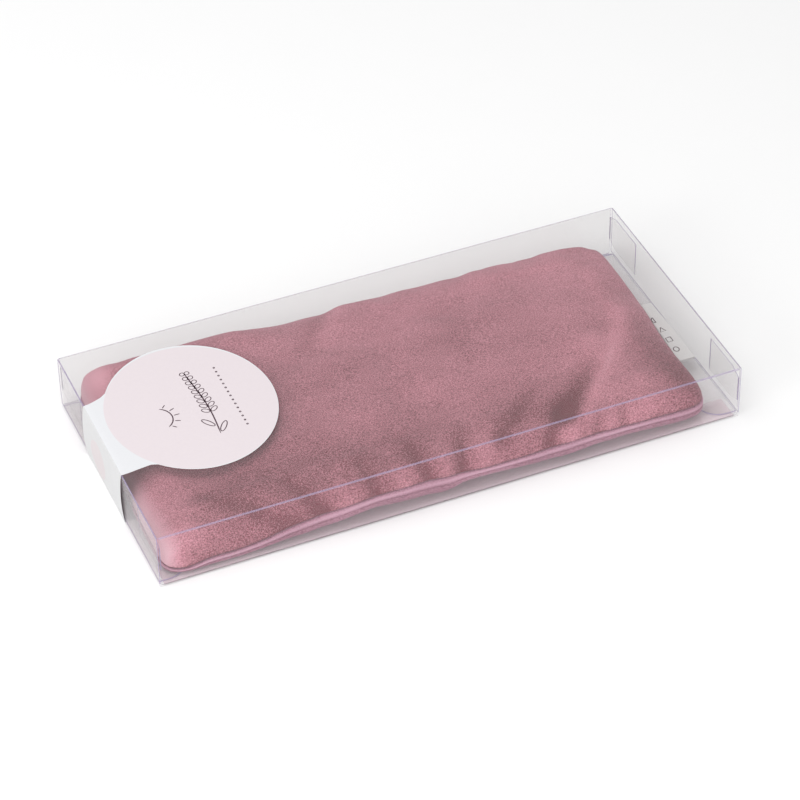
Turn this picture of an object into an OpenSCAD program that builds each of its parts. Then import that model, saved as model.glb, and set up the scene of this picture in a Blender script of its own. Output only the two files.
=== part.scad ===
// Velvet eye pillow in its clear folding carton.
// +X points to the end that opens, +Z is up, and the origin is the centre of the carton's underside.

/* [Carton] */
// Outside length of the closed carton, paper label included
box_length = 240; // [220:1:280]
// Outside width of the carton
box_width = 114; // [104:1:130]
// Outside height of the carton, paper label included
box_height = 24; // [22:0.5:32]
// Thickness of the clear plastic sheet
sheet_t = 0.3; // [0.2:0.05:0.35]
// Width of the flap glued inside along the front bottom edge
glue_flap_w = 11; // [8:1:15]

/* [End flaps] */
// How far each tuck flap reaches into the carton
tuck_depth = 13; // [10:0.5:13]
// Radius of the tuck flap's free corners
tuck_corner_r = 9; // [5:0.5:10]
// Length of each side dust flap, from the wall to its free end
dust_depth = 24; // [15:1:28]
// Height of the dust flaps' lower edges above the underside, which lets the tuck flap pass
dust_bottom_z = 6; // [6:0.1:8]
// How far the dust flaps' upper edges lie below the top
dust_top_gap = 2.6; // [2.6:0.1:5]

/* [Paper label] */
// Thickness of the label paper
paper_t = 0.12; // [0.08:0.01:0.15]
// Radius of the label's two discs
disc_r = 35.7; // [25:0.5:40]
// Distance from the sealed end to the discs' centres
disc_from_end = 36; // [36:0.5:45]
// Sideways place of the upper disc's centre
disc_y = 8; // [0:0.5:8]
// Width of the strap that crosses the sealed end
strap_w = 42.5; // [30:0.5:45]
// Sideways place of the strap's middle
strap_y = 3.3; // [0:0.1:5]

/* [Pillow] */
// Clear length left at the pillow's two ends together, inside the carton's outside length
pillow_end_room = 8.4; // [8.4:0.1:14]
// Clear width left at the pillow's two sides together
pillow_side_room = 2.4; // [2.4:0.1:6]
// Radius of the pillow's corners seen from above
pillow_corner_r = 17; // [12:1:22]
// Height of the side seam above the carton's underside
seam_z = 8; // [7:0.5:9]
// Height of the pillow's top above the carton's underside
pillow_top_z = 21.3; // [19:0.1:21.3]
// How far in from the edge the top goes on rising
top_roll = 22; // [18:1:26]
// How far in from the edge the underside goes on falling
bottom_roll = 28; // [26:1:32]
// Thickness of the velvet
velvet_t = 1.2; // [0.8:0.1:1.5]
// Width of the velvet turned in at the seam
seam_allowance = 6; // [4:0.5:7]
// Thickness of the inner bag's cotton
cotton_t = 0.4; // [0.3:0.1:0.6]

/* [Care label] */
// Length of the folded satin label along the seam
care_w = 38; // [20:1:50]
// How far the label stands out of the seam
care_out = 3; // [2:0.1:3]
// Sideways place of the label's middle
care_y = -7.5; // [-20:0.5:20]

/* [Hidden] */

film = [0.86, 0.84, 0.88, 0.35];
paper = [0.95, 0.95, 0.97];
velvet = [0.66, 0.5, 0.53];
velvet_under = [0.76, 0.57, 0.62];
cotton = [0.93, 0.9, 0.84];
thread_color = [0.7, 0.5, 0.55];
seed_color = [0.45, 0.3, 0.2];
satin = [0.97, 0.97, 0.96];

half_l = box_length / 2;
half_w = box_width / 2;

// Heights of the sheet's faces
top_out = box_height - paper_t;
top_in = top_out - sheet_t;
wall_y = half_w - sheet_t;

// Glue flap, its adhesive and the tuck flaps above it
glue_t = 0.05;
glue_flap_end_room = 2;
tuck_dip = 0.3;
tuck_low = 2 * sheet_t + glue_t + tuck_dip;
tuck_high = tuck_low + sheet_t;

// An end is built looking along +X: the lid's outer face is at end_x, and the rest lies inside it
right_end_x = half_l;
left_end_x = half_l - paper_t;
lid_side_gap = 0.3;
crease_gap = 0.05;
lid_hinge_drop = 0.25;
dust_lid_gap = 0.5;
panel_end_gap = 0.4;
dust_side_gap = 0.4;
dust_shoulder = 5;
dust_shoulder_drop = 2;
tuck_side_gap = 1.8;

// Pillow outline and heights
bottom_room = 0.3;
pillow_low_z = sheet_t + bottom_room;
pillow_left_room = 1.6;
pillow_x0 = -half_l + pillow_left_room;
pillow_x1 = half_l - (pillow_end_room - pillow_left_room);
pillow_mid_x = (pillow_x0 + pillow_x1) / 2;
pillow_a = (pillow_x1 - pillow_x0) / 2;
pillow_b = half_w - pillow_side_room / 2;
flange_t = 0.6;
thread_t = 0.35;
thread_in = 1.2;
bag_inset = velvet_t + seam_allowance + 0.9;
bag_gap = 0.3;
fill_gap = 0.1;
arc_steps = 8;
roll_steps = 8;
min_corner_r = 1;

// Hand-closed gap in the seam at the back
closing_count = 16;
closing_pitch = 4;
closing_x = 20;
stitch_len = 1.8;
stitch_w = 0.4;
stitch_out = 0.3;

care_ply_t = 0.2;
care_fold_gap = 0.2;
care_seam_gap = 0.3;

// ---- Clear carton ----

// A flat piece of the sheet between two opposite corners
module sheet(low, high) {
    color(film) translate(low) cube(high - low);
}

module top_panel() {
    sheet([-left_end_x + panel_end_gap, -half_w, top_in], [right_end_x - panel_end_gap, half_w, top_out]);
}

module front_panel() {
    sheet([-wall_end(left_end_x), -half_w, sheet_t], [wall_end(right_end_x), -wall_y, top_in]);
}

module back_panel() {
    sheet([-wall_end(left_end_x), wall_y, sheet_t], [wall_end(right_end_x), half_w, top_in]);
}

// The underside has a shallow recess, as deep as the paper, where the label's lower disc lies flush
module bottom_panel() {
    color(film) difference() {
        translate([-left_end_x, -half_w, 0]) cube([left_end_x + right_end_x - sheet_t, box_width, sheet_t]);
        translate([0, 0, -paper_t]) linear_extrude(2 * paper_t) label_outline(strap_y);
    }
}

module glue_flap() {
    flap_x = half_l - glue_flap_end_room;
    sheet([-flap_x, -wall_y, sheet_t + glue_t], [flap_x, -wall_y + glue_flap_w, 2 * sheet_t + glue_t]);
}

module glue_strip() {
    strip_x = half_l - 2 * glue_flap_end_room;
    strip_w = glue_flap_w - 4;
    strip_y = -wall_y + 2;
    color([0.9, 0.9, 0.85, 0.6])
        translate([-strip_x, strip_y, sheet_t]) cube([2 * strip_x, strip_w, glue_t]);
}

// X of the front and back walls' ends, where the dust flaps are creased
function wall_end(end_x) = end_x - sheet_t - dust_lid_gap;

// Lid that closes an end, hinged along the top panel's crease
module lid(end_x) {
    lid_y = half_w - lid_side_gap;
    sheet([end_x - sheet_t, -lid_y, tuck_high + crease_gap], [end_x, lid_y, top_out - sheet_t / 2 - lid_hinge_drop]);
}

// Tuck flap with two round corners, which lies just above the bottom panel
module tuck_flap(end_x) {
    tuck_y = half_w - tuck_side_gap;
    base_x = end_x - sheet_t - crease_gap;
    tip_x = end_x - sheet_t - tuck_depth;
    corner_x = tip_x + tuck_corner_r;
    corner_y = tuck_y - tuck_corner_r;
    color(film) translate([0, 0, tuck_low]) linear_extrude(sheet_t) intersection() {
        translate([tip_x, -tuck_y]) square([base_x - tip_x, 2 * tuck_y]);
        union() {
            translate([corner_x, -tuck_y]) square([tuck_depth, 2 * tuck_y]);
            translate([tip_x, -corner_y]) square([tuck_depth, 2 * corner_y]);
            for (side = [-1, 1]) translate([corner_x, side * corner_y]) circle(tuck_corner_r, $fn = 64);
        }
    }
}

// Dust flap folded in from the wall at +Y; its shoulders slope back from the wall
module dust_flap(end_x) {
    root_y = wall_y - dust_side_gap;
    tip_y = half_w - dust_depth;
    shoulder_y = root_y - dust_shoulder;
    top_z = top_out - dust_top_gap;
    outline = [
        [root_y, dust_bottom_z + dust_shoulder_drop], [shoulder_y, dust_bottom_z], [tip_y, dust_bottom_z],
        [tip_y, top_z], [shoulder_y, top_z], [root_y, top_z - dust_shoulder_drop]
    ];
    color(film) translate([wall_end(end_x), 0, 0]) rotate([90, 0, 90])
        translate([0, 0, -sheet_t]) linear_extrude(sheet_t) polygon(outline);
}

module right_lid() { lid(right_end_x); }
module right_tuck_flap() { tuck_flap(right_end_x); }
module right_back_dust_flap() { dust_flap(right_end_x); }
module right_front_dust_flap() { mirror([0, 1, 0]) dust_flap(right_end_x); }

module left_lid() { mirror([1, 0, 0]) lid(left_end_x); }
module left_tuck_flap() { mirror([1, 0, 0]) tuck_flap(left_end_x); }
module left_back_dust_flap() { mirror([1, 0, 0]) dust_flap(left_end_x); }
module left_front_dust_flap() { mirror([1, 0, 0]) mirror([0, 1, 0]) dust_flap(left_end_x); }

// ---- Paper label ----

// Disc and the neck that joins it to the strap, seen from above
module label_outline(centre_y) {
    neck_x = -half_l + disc_from_end;
    neck_flare = 4;
    translate([neck_x, centre_y]) circle(disc_r, $fn = 128);
    polygon([
        [-half_l, strap_y - strap_w / 2], [neck_x - disc_r * 0.7, centre_y - strap_w / 2 - neck_flare],
        [neck_x, centre_y - strap_w / 2], [neck_x, centre_y + strap_w / 2],
        [neck_x - disc_r * 0.7, centre_y + strap_w / 2], [-half_l, strap_y + strap_w / 2]
    ]);
}

module label_top() {
    color(paper) translate([0, 0, top_out]) linear_extrude(paper_t) label_outline(disc_y);
}

module label_end() {
    color(paper) translate([-half_l, strap_y - strap_w / 2, paper_t]) cube([paper_t, strap_w, top_out - paper_t]);
}

module label_bottom() {
    color(paper) linear_extrude(paper_t) label_outline(strap_y);
}

// ---- Pillow ----

// Rounded rectangle of the pillow seen from above, moved in by inset, as a ring of points
function outline(inset) =
    let (r = max(pillow_corner_r - inset, min_corner_r), cx = pillow_a - inset - r, cy = pillow_b - inset - r)
    [for (corner = [0:3], i = [0:arc_steps])
        let (turn = 90 * corner + 90 * i / arc_steps,
             sx = corner == 0 || corner == 3 ? 1 : -1,
             sy = corner < 2 ? 1 : -1)
        [pillow_mid_x + sx * cx + r * cos(turn), sy * cy + r * sin(turn)]];

// Rings of [inset, height] up a quarter ellipse, from a rim at first_inset to a flat cap
function roll(first_inset, last_inset, rise) =
    [for (i = [0:roll_steps]) let (turn = 90 * i / roll_steps)
        [first_inset + (last_inset - first_inset) * (1 - cos(turn)), seam_z + rise * sin(turn)]];

function backwards(list) = [for (i = [len(list) - 1:-1:0]) list[i]];

// Closed solid through rings of [inset, height]. The ring at index cap, the one after it, or both are
// filled in: a shell's section runs out along its outer face, jumps the cloth's thickness at cap, and
// runs back along its inner face to where it began.
module ring_shell(rings, cap) {
    n = 4 * (arc_steps + 1);
    count = len(rings);
    points = [for (ring = rings) for (p = outline(ring[0])) [p[0], p[1], ring[1]]];
    sides = [for (j = [0:count - 1]) if (j != cap)
        for (i = [0:n - 1])
            let (a = j * n + i, b = j * n + (i + 1) % n, next = ((j + 1) % count) * n)
            [a, next + i, next + (i + 1) % n, b]];
    after_cap = (cap + 1) % count;
    caps = [[for (i = [n - 1:-1:0]) cap * n + i], [for (i = [0:n - 1]) after_cap * n + i]];
    polyhedron(points = points, faces = concat(sides, caps), convexity = 6);
}

// Shell of a cover panel: the outer face, the inner face and the edge turned in along the seam.
// rise is signed: positive for the top panel, negative for the bottom one
module cover_shell(rise, roll_in) {
    up = sign(rise);
    flange_z = seam_z + up * flange_t;
    inner = [for (ring = backwards(roll(velvet_t, roll_in, rise - up * velvet_t)))
        if (abs(ring[1] - seam_z) > 2 * flange_t) ring];
    turned_in = [
        [velvet_t + flange_t, flange_z],
        [velvet_t + seam_allowance, flange_z],
        [velvet_t + seam_allowance, seam_z]
    ];
    ring_shell(concat(roll(0, roll_in, rise), inner, turned_in), roll_steps);
}

module flip_if(flipped) {
    if (flipped) translate([0, 0, 2 * seam_z]) mirror([0, 0, 1]) children();
    else children();
}

module cover_top() {
    color(velvet) cover_shell(pillow_top_z - seam_z, top_roll);
}

module cover_bottom() {
    color(velvet_under) flip_if(true) cover_shell(seam_z - pillow_low_z, bottom_roll);
}

// Shell of one half of the inner bag
module bag_shell(rise, roll_in) {
    outer = roll(bag_inset, roll_in, rise);
    inner = backwards(roll(bag_inset + cotton_t, roll_in, rise - cotton_t));
    ring_shell(concat(outer, inner), roll_steps);
}

bag_rise_up = pillow_top_z - seam_z - velvet_t - bag_gap;
bag_rise_down = seam_z - pillow_low_z - velvet_t - bag_gap;

module inner_bag_top() {
    color(cotton) bag_shell(bag_rise_up, top_roll);
}

module inner_bag_bottom() {
    color(cotton) flip_if(true) bag_shell(bag_rise_down, bottom_roll);
}

// Flax seed and lavender, as the one lump that the bag holds
module seed_filling() {
    rim = bag_inset + cotton_t + fill_gap;
    above = roll(rim, top_roll, bag_rise_up - cotton_t - fill_gap);
    below = [for (ring = roll(rim, bottom_roll, bag_rise_down - cotton_t - fill_gap))
        [ring[0], 2 * seam_z - ring[1]]];
    lower = [for (i = [1:roll_steps]) below[i]];
    color(seed_color) ring_shell(concat(backwards(lower), above), len(lower) + len(above) - 1);
}

// A thread laid round the pillow at a given inset, from one height to another
module thread_ring(inset, low_z, high_z) {
    color(thread_color) translate([0, 0, low_z]) linear_extrude(high_z - low_z) difference() {
        polygon(outline(inset));
        polygon(outline(inset + thread_t));
    }
}

// Needle thread above the turned-in edges and bobbin thread below them
module seam_stitching() {
    inset = velvet_t + thread_in;
    thread_ring(inset, seam_z + flange_t, seam_z + flange_t + thread_t);
    thread_ring(inset, seam_z - flange_t - thread_t, seam_z - flange_t);
}

module inner_bag_stitching() {
    inset = bag_inset - thread_t - 0.1;
    thread_ring(inset, seam_z - thread_t / 2, seam_z + thread_t / 2);
}

// Hand stitches across the gap through which the cover was turned and filled
module closing_stitches() {
    first_x = closing_x - (closing_count - 1) * closing_pitch / 2;
    color(thread_color) for (i = [0:closing_count - 1])
        translate([first_x + i * closing_pitch, pillow_b, seam_z - stitch_len / 2])
            cube([stitch_w, stitch_out, stitch_len]);
}

// Satin tape folded back on itself: two plies and the fold at the outer end
module care_label() {
    inner_x = pillow_x1 + care_seam_gap;
    outer_r = care_ply_t + care_fold_gap / 2;
    straight = care_out - outer_r;
    color(satin) translate([inner_x, care_y + care_w / 2, seam_z]) rotate([90, 0, 0]) linear_extrude(care_w) {
        for (side = [-1, 1])
            translate([0, side * (care_fold_gap + care_ply_t) / 2 - care_ply_t / 2]) square([straight, care_ply_t]);
        translate([straight, 0]) intersection() {
            difference() {
                circle(outer_r, $fn = 32);
                circle(care_fold_gap / 2, $fn = 32);
            }
            translate([0, -outer_r]) square([outer_r, 2 * outer_r]);
        }
    }
}

top_panel();
front_panel();
bottom_panel();
back_panel();
glue_flap();
glue_strip();
left_lid();
left_tuck_flap();
left_front_dust_flap();
left_back_dust_flap();
right_lid();
right_tuck_flap();
right_front_dust_flap();
right_back_dust_flap();
label_top();
label_end();
label_bottom();
cover_top();
cover_bottom();
seam_stitching();
closing_stitches();
inner_bag_top();
inner_bag_bottom();
inner_bag_stitching();
seed_filling();
care_label();
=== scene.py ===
from math import cos, pi, radians, sin

import bpy
import numpy as np
from mathutils import Matrix, Vector


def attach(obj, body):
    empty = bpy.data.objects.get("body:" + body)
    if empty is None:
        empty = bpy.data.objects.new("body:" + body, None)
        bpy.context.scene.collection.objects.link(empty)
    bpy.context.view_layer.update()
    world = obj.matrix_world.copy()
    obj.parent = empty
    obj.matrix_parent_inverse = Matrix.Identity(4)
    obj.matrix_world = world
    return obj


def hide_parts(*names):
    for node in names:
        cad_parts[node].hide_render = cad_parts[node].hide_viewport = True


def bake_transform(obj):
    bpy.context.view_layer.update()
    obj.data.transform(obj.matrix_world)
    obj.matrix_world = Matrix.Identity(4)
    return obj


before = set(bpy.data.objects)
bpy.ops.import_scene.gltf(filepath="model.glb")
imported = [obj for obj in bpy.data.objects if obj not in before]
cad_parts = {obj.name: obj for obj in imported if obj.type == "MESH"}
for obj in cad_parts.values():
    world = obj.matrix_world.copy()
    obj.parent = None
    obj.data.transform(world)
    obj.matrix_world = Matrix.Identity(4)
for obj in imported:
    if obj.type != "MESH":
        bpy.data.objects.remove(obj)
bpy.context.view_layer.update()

# Lengths below are in millimetres in the CAD frame, and become metres when a mesh is made.
MM = 0.001
scene = bpy.context.scene
rng = np.random.default_rng(7)

SHEET_T = 0.3
PAPER_T = 0.12
TOP_Z = 23.73      # middle of the top panel's thickness
BASE_Z = 0.15      # middle of the bottom panel's thickness
WALL_Y = 56.85     # middle of the side walls' thickness
END_X = 119.85     # middle of the lids' thickness
DUST_X = 119.05    # middle of the dust flaps' thickness
FLOOR_REACH, FLOOR_Z = 4000, -0.03
QUARTER_TURN = np.linspace(0, pi / 2, 5)


# ---- Camera, light and floor ----

def unit(v):
    return v / np.linalg.norm(v)


def add_camera():
    """The photograph's viewing angle, round the middle of the carton's height."""
    azimuth, elevation, roll = (radians(a) for a in (-22.405, 40.096, -1.080))
    distance, aside, above, middle_z = 1259.2, 0.661, -5.150, 12
    back = np.array([sin(azimuth) * cos(elevation), -cos(azimuth) * cos(elevation), sin(elevation)])
    right = unit(np.cross(-back, [0, 0, 1]))
    up = np.cross(right, -back)
    turned_right = cos(roll) * right + sin(roll) * up
    turned_up = cos(roll) * up - sin(roll) * right
    place = (back * distance + turned_right * aside + turned_up * above + [0, 0, middle_z]) * MM
    data = bpy.data.cameras.new("camera")
    data.lens, data.sensor_width = 145.4355, 36
    data.clip_start, data.clip_end = 0.05, 20
    camera = bpy.data.objects.new("camera", data)
    camera.matrix_world = Matrix([[turned_right[i], turned_up[i], back[i], place[i]] for i in range(3)]
                                 + [[0, 0, 0, 1]])
    scene.collection.objects.link(camera)
    scene.camera = camera


def add_light(name, place, size, watts):
    """A white round light at a place in metres, turned towards the origin."""
    data = bpy.data.lights.new(name, "AREA")
    data.shape, data.size = "DISK", size
    data.energy = watts
    light = bpy.data.objects.new(name, data)
    light.location = place
    light.rotation_mode = "QUATERNION"
    light.rotation_quaternion = (-Vector(place)).to_track_quat("-Z", "Y")
    scene.collection.objects.link(light)


def add_studio():
    world = bpy.data.worlds.new("studio")
    world.use_nodes = True
    background = world.node_tree.nodes["Background"]
    background.inputs["Color"].default_value = (1, 1, 1, 1)
    background.inputs["Strength"].default_value = 0.655
    scene.world = world
    add_light("soft_box", (-0.45, 0.0, 1.4), 1.0, 7.5)
    add_light("low_left", (-1.25, -0.5, 0.55), 0.6, 7.5)
    add_light("front_fill", (-0.3, -1.4, 0.5), 0.9, 6.5)
    scene.view_settings.view_transform = "Standard"
    scene.cycles.transparent_max_bounces = 32


# ---- Meshes ----

def make_object(name, points, faces, materials, kinds=None, sharp=None):
    """A smooth-shaded mesh object from points in millimetres. kinds is a material index for each face."""
    mesh = bpy.data.meshes.new(name)
    mesh.from_pydata((np.asarray(points, float) * MM).tolist(), [], faces)
    for material in materials:
        mesh.materials.append(material)
    if kinds is not None:
        mesh.polygons.foreach_set("material_index", kinds)
    mesh.polygons.foreach_set("use_smooth", np.ones(len(mesh.polygons), bool))
    if sharp is not None:
        mesh.set_sharp_from_angle(angle=radians(sharp))
    mesh.update()
    obj = bpy.data.objects.new(name, mesh)
    scene.collection.objects.link(obj)
    return obj


def grid_normals(grid):
    """Unit normals of a grid of points, from its neighbours both ways."""
    n = np.cross(np.gradient(grid, axis=0), np.gradient(grid, axis=1))
    return n / np.maximum(np.linalg.norm(n, axis=2, keepdims=True), 1e-12)


def grid_faces(nu, nv, start=0, flip=False):
    i, j = np.meshgrid(np.arange(nu - 1), np.arange(nv - 1), indexing="ij")
    a = (start + i * nv + j).ravel()
    quads = np.stack([a, a + nv, a + nv + 1, a + 1], 1)
    return (quads[:, ::-1] if flip else quads).tolist()


def closed_shell(upper, lower):
    """Points and faces of a closed form from two grids that share their border, and the lower grid's indices."""
    nu, nv = upper.shape[:2]
    count = nu * nv
    ring = border(nu, nv)
    inner = np.setdiff1d(np.arange(count), ring)
    lower_index = np.full(count, -1)
    lower_index[ring] = ring
    lower_index[inner] = count + np.arange(len(inner))
    points = np.concatenate([upper.reshape(-1, 3), lower.reshape(-1, 3)[inner]])
    faces = grid_faces(nu, nv)
    faces += [[int(lower_index[i]) for i in quad[::-1]] for quad in faces]
    return points, faces, lower_index


def border(nu, nv):
    """Indices of a grid's border points, once round from the corner at low u and low v."""
    index = np.arange(nu * nv).reshape(nu, nv)
    return np.concatenate([index[:, 0], index[-1, 1:], index[-2::-1, -1], index[0, -2:0:-1]])


def thin_sheet(name, grid, thickness, materials, station_kinds=0, rim_kind=lambda point: 1):
    """A sheet of even thickness about a grid of points [u][v]. Materials are the faces', the cut edge's, and then
    any others that station_kinds names for the faces between two stations along u, or rim_kind for an edge face."""
    grid = np.asarray(grid, float)
    nu, nv = grid.shape[:2]
    normals = grid_normals(grid)
    upper, lower = grid + normals * thickness / 2, grid - normals * thickness / 2
    points = np.concatenate([upper.reshape(-1, 3), lower.reshape(-1, 3)])
    count = nu * nv
    faces = grid_faces(nu, nv) + grid_faces(nu, nv, count, flip=True)
    kinds = np.tile(np.repeat(np.broadcast_to(station_kinds, nu - 1), nv - 1), 2).tolist()
    loop = border(nu, nv).tolist()
    for a, b in zip(loop, loop[1:] + loop[:1]):
        faces.append([b, a, a + count, b + count])
        kinds.append(rim_kind(points[a]))
    return make_object(name, points, faces, materials, kinds, sharp=50)


def ribbon_tube(points, radius, sides=6):
    """Points and faces of a closed tube along a line of points, with flat ends."""
    points = np.asarray(points, float)
    along = np.gradient(points, axis=0)
    along /= np.linalg.norm(along, axis=1, keepdims=True)
    helper = np.where(np.abs(along[:, 2:3]) > 0.9, [[1.0, 0, 0]], [[0, 0, 1.0]])
    side = np.cross(along, helper)
    side /= np.linalg.norm(side, axis=1, keepdims=True)
    lift = np.cross(side, along)
    turn = np.linspace(0, 2 * np.pi, sides, endpoint=False)
    ring = points[:, None] + radius * (np.cos(turn)[None, :, None] * side[:, None]
                                       + np.sin(turn)[None, :, None] * lift[:, None])
    faces = []
    last = (len(points) - 1) * sides
    for start in range(0, last, sides):
        for k in range(sides):
            a, b = start + k, start + (k + 1) % sides
            faces.append([a, b, b + sides, a + sides])
    faces += [list(range(sides))[::-1], list(range(last, last + sides))]
    return ring.reshape(-1, 3), faces


def join(parts):
    """Points and faces of several (points, faces) together."""
    points, faces, start = [], [], 0
    for p, f in parts:
        points.append(np.asarray(p, float))
        faces += [[start + i for i in face] for face in f]
        start += len(p)
    return np.concatenate(points), faces


def smooth(low, high, x):
    """0 at low and 1 at high, with a level start and end."""
    t = np.clip((np.asarray(x, float) - low) / (high - low), 0, 1)
    return t * t * (3 - 2 * t)


def through(x, knots):
    """A smooth curve through a few (x, value) knots, and the end values beyond them."""
    kx, kv = (np.array(c, float) for c in zip(*knots))
    slopes = np.gradient(kv, kx)
    x = np.clip(x, kx[0], kx[-1])
    i = np.clip(np.searchsorted(kx, x) - 1, 0, len(kx) - 2)
    h = kx[i + 1] - kx[i]
    t = (x - kx[i]) / h
    return ((1 + 2 * t) * (1 - t) ** 2 * kv[i] + t * (1 - t) ** 2 * h * slopes[i]
            + t * t * (3 - 2 * t) * kv[i + 1] + t * t * (t - 1) * h * slopes[i + 1])


# ---- Node materials ----

class Look:
    """A Principled material that is built up from procedural nodes."""

    def __init__(self, name, color=(0.8, 0.8, 0.8), **plain):
        self.material = bpy.data.materials.new(name)
        self.material.use_nodes = True
        self.tree = self.material.node_tree
        self.shader = self.tree.nodes["Principled BSDF"]
        self.shader.inputs["Base Color"].default_value = (*color, 1)
        for key, value in plain.items():
            self.shader.inputs[key.replace("_", " ")].default_value = value
        self.place = self.tree.nodes.new("ShaderNodeTexCoord").outputs["Object"]

    def node(self, kind, inputs=(), **settings):
        made = self.tree.nodes.new(kind)
        for key, value in settings.items():
            setattr(made, key, value)
        for key, value in dict(inputs).items():
            if isinstance(value, bpy.types.NodeSocket):
                self.tree.links.new(value, made.inputs[key])
            else:
                made.inputs[key].default_value = value
        return made

    def noise(self, scale, detail=3.0, roughness=0.55, stretch=(1, 1, 1)):
        at = self.node("ShaderNodeMapping", {"Vector": self.place, "Scale": stretch}).outputs["Vector"]
        return self.node("ShaderNodeTexNoise", {"Vector": at, "Scale": scale, "Detail": detail,
                                                "Roughness": roughness}).outputs["Fac"]

    def wave(self, scale, direction, distortion=0.0):
        return self.node("ShaderNodeTexWave", {"Vector": self.place, "Scale": scale, "Distortion": distortion},
                         bands_direction=direction).outputs["Fac"]

    def attribute(self, name):
        return self.node("ShaderNodeAttribute", attribute_name=name).outputs["Fac"]

    def math(self, operation, a, b=0.0, clamp=False):
        return self.node("ShaderNodeMath", {0: a, 1: b}, operation=operation, use_clamp=clamp).outputs[0]

    def remap(self, value, low, high, to_low, to_high):
        return self.node("ShaderNodeMapRange", {"Value": value, "From Min": low, "From Max": high,
                                                "To Min": to_low, "To Max": to_high}).outputs["Result"]

    def mix(self, factor, a, b):
        a, b = (c if isinstance(c, bpy.types.NodeSocket) else (*c, 1) for c in (a, b))
        return self.node("ShaderNodeMix", {0: factor, 6: a, 7: b}, data_type="RGBA").outputs[2]

    def set(self, socket, value):
        self.tree.links.new(value, self.shader.inputs[socket])

    def bump(self, height, strength, depth_mm):
        bump = self.node("ShaderNodeBump", {"Height": height, "Strength": strength, "Distance": depth_mm * MM})
        self.set("Normal", bump.outputs["Normal"])


def film_look(name, color, alpha, roughness):
    """Clear plastic sheet: faint scuffs in its gloss, and a slight unevenness."""
    look = Look(name, color, Alpha=alpha, IOR=2.2)
    look.set("Roughness", look.remap(look.noise(55, 4), 0.3, 0.7, roughness, roughness + 0.12))
    look.bump(look.noise(18, 2), 0.25, 0.4)
    return look.material


add_camera()
add_studio()

floor_look = Look("floor", (0.93, 0.93, 0.93), Roughness=0.9, Specular_IOR_Level=0.1)
floor_look.set("Base Color", floor_look.mix(floor_look.noise(30, 2), (0.90, 0.90, 0.90), (0.91, 0.91, 0.91)))
floor_corners = [[x * FLOOR_REACH, y * FLOOR_REACH, FLOOR_Z] for x, y in ((-1, -1), (1, -1), (1, 1), (-1, 1))]
floor = make_object("floor", floor_corners, [[0, 1, 2, 3]], [floor_look.material])


# ---- Clear carton ----

FILM = film_look("clear_film", (0.48, 0.445, 0.45), 0.095, 0.06)
# painted reflection: a lighter, faintly pink veil on the bottom panel and the front wall, for the film reflecting the
# bright floor
FRONT_FILM_PAINTED_REFLECTION = film_look("clear_film_front_painted_reflection", (0.80, 0.74, 0.77), 0.055, 0.06)
# the glued flap's double ply, with a light pink veil of painted reflection: the bright floor and light thrown back by
# the pink velvet
FLAP_FILM_PAINTED_REFLECTION = film_look("clear_film_glued_painted_reflection", (0.98, 0.83, 0.885), 0.45, 0.1)
# painted reflection: a denser grey veil on the left lid, for the film reflecting darker surroundings
END_FILM_PAINTED_REFLECTION = film_look("clear_film_end_painted_reflection", (0.53, 0.49, 0.51), 0.27, 0.06)
FAINT_EDGE = film_look("clear_film_faint_edge", (0.60, 0.57, 0.62), 0.22, 0.2)
# the crease along the front's bottom edge, near black: the crease line with a painted contact shadow
LOW_CREASE_AND_SHADOW = film_look("clear_film_lower_crease_and_shadow", (0.12, 0.11, 0.12), 0.55, 0.2)
EDGE = film_look("clear_film_cut_edge", (0.34, 0.28, 0.46), 0.66, 0.2)
CREASE = film_look("clear_film_crease", (0.40, 0.33, 0.49), 0.42, 0.15)
GLUE = film_look("clear_glue", (0.75, 0.74, 0.72), 0.12, 0.3)

# The sheet's path across the carton, as (y, z) corners from the bottom panel's free edge to the glue flap's
PATH = [(-57.0, BASE_Z), (WALL_Y, BASE_Z), (WALL_Y, TOP_Z), (-WALL_Y, TOP_Z), (-WALL_Y, 0.5), (-45.7, 0.5)]
STEPS = [16, 5, 26, 6, 3]       # faces along each stretch
# How far the sheet reaches to the left and right along each stretch
REACH = [(-119.88, 119.7), (-119.08, 119.2), (-119.48, 119.6), (-119.08, 119.2), (-118.0, 118.0)]
CREASE_R = 0.42
CREASE_T = SHEET_T * 0.9    # the sheet is pressed thinner where an end flap folds
CREASE_STEPS = 4

# The sleeve's materials, and those of its stretches. Any other stretch has the plain film.
FACE, RIM, BEND, GLUED, LOW_BEND, LOW_RIM, FRONT = range(7)
STRETCHES = {0: FRONT, 3: FRONT, 4: GLUED}


def sleeve_stations():
    """Stations along the sheet's path: (y, z, left, right, index of the sleeve's material)."""
    rows = []
    for k in range(len(PATH) - 1):
        a, b = np.array(PATH[k]), np.array(PATH[k + 1])
        along = unit(b - a)
        if k > 0:
            a = a + along * CREASE_R
        if k < len(PATH) - 2:
            b = b - along * CREASE_R
        for t in np.linspace(0, 1, STEPS[k] + 1):
            rows.append((*(a + (b - a) * t), *REACH[k], STRETCHES.get(k, FACE)))
        if k < len(PATH) - 2:
            corner, after = np.array(PATH[k + 1]), unit(np.array(PATH[k + 2]) - np.array(PATH[k + 1]))
            centre = corner - along * CREASE_R + after * CREASE_R
            for i in range(1, CREASE_STEPS):
                turn = pi / 2 * i / CREASE_STEPS
                at = centre - after * CREASE_R * cos(turn) + along * CREASE_R * sin(turn)
                share = i / CREASE_STEPS
                left, right = (REACH[k][e] * (1 - share) + REACH[k + 1][e] * share for e in (0, 1))
                notch = 0.7 * sin(pi * share)
                # the lower front bend takes the dark line of crease and painted contact shadow
                rows.append((*at, left + notch, right - notch, LOW_BEND if k == 3 else BEND))
    return rows


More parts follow.
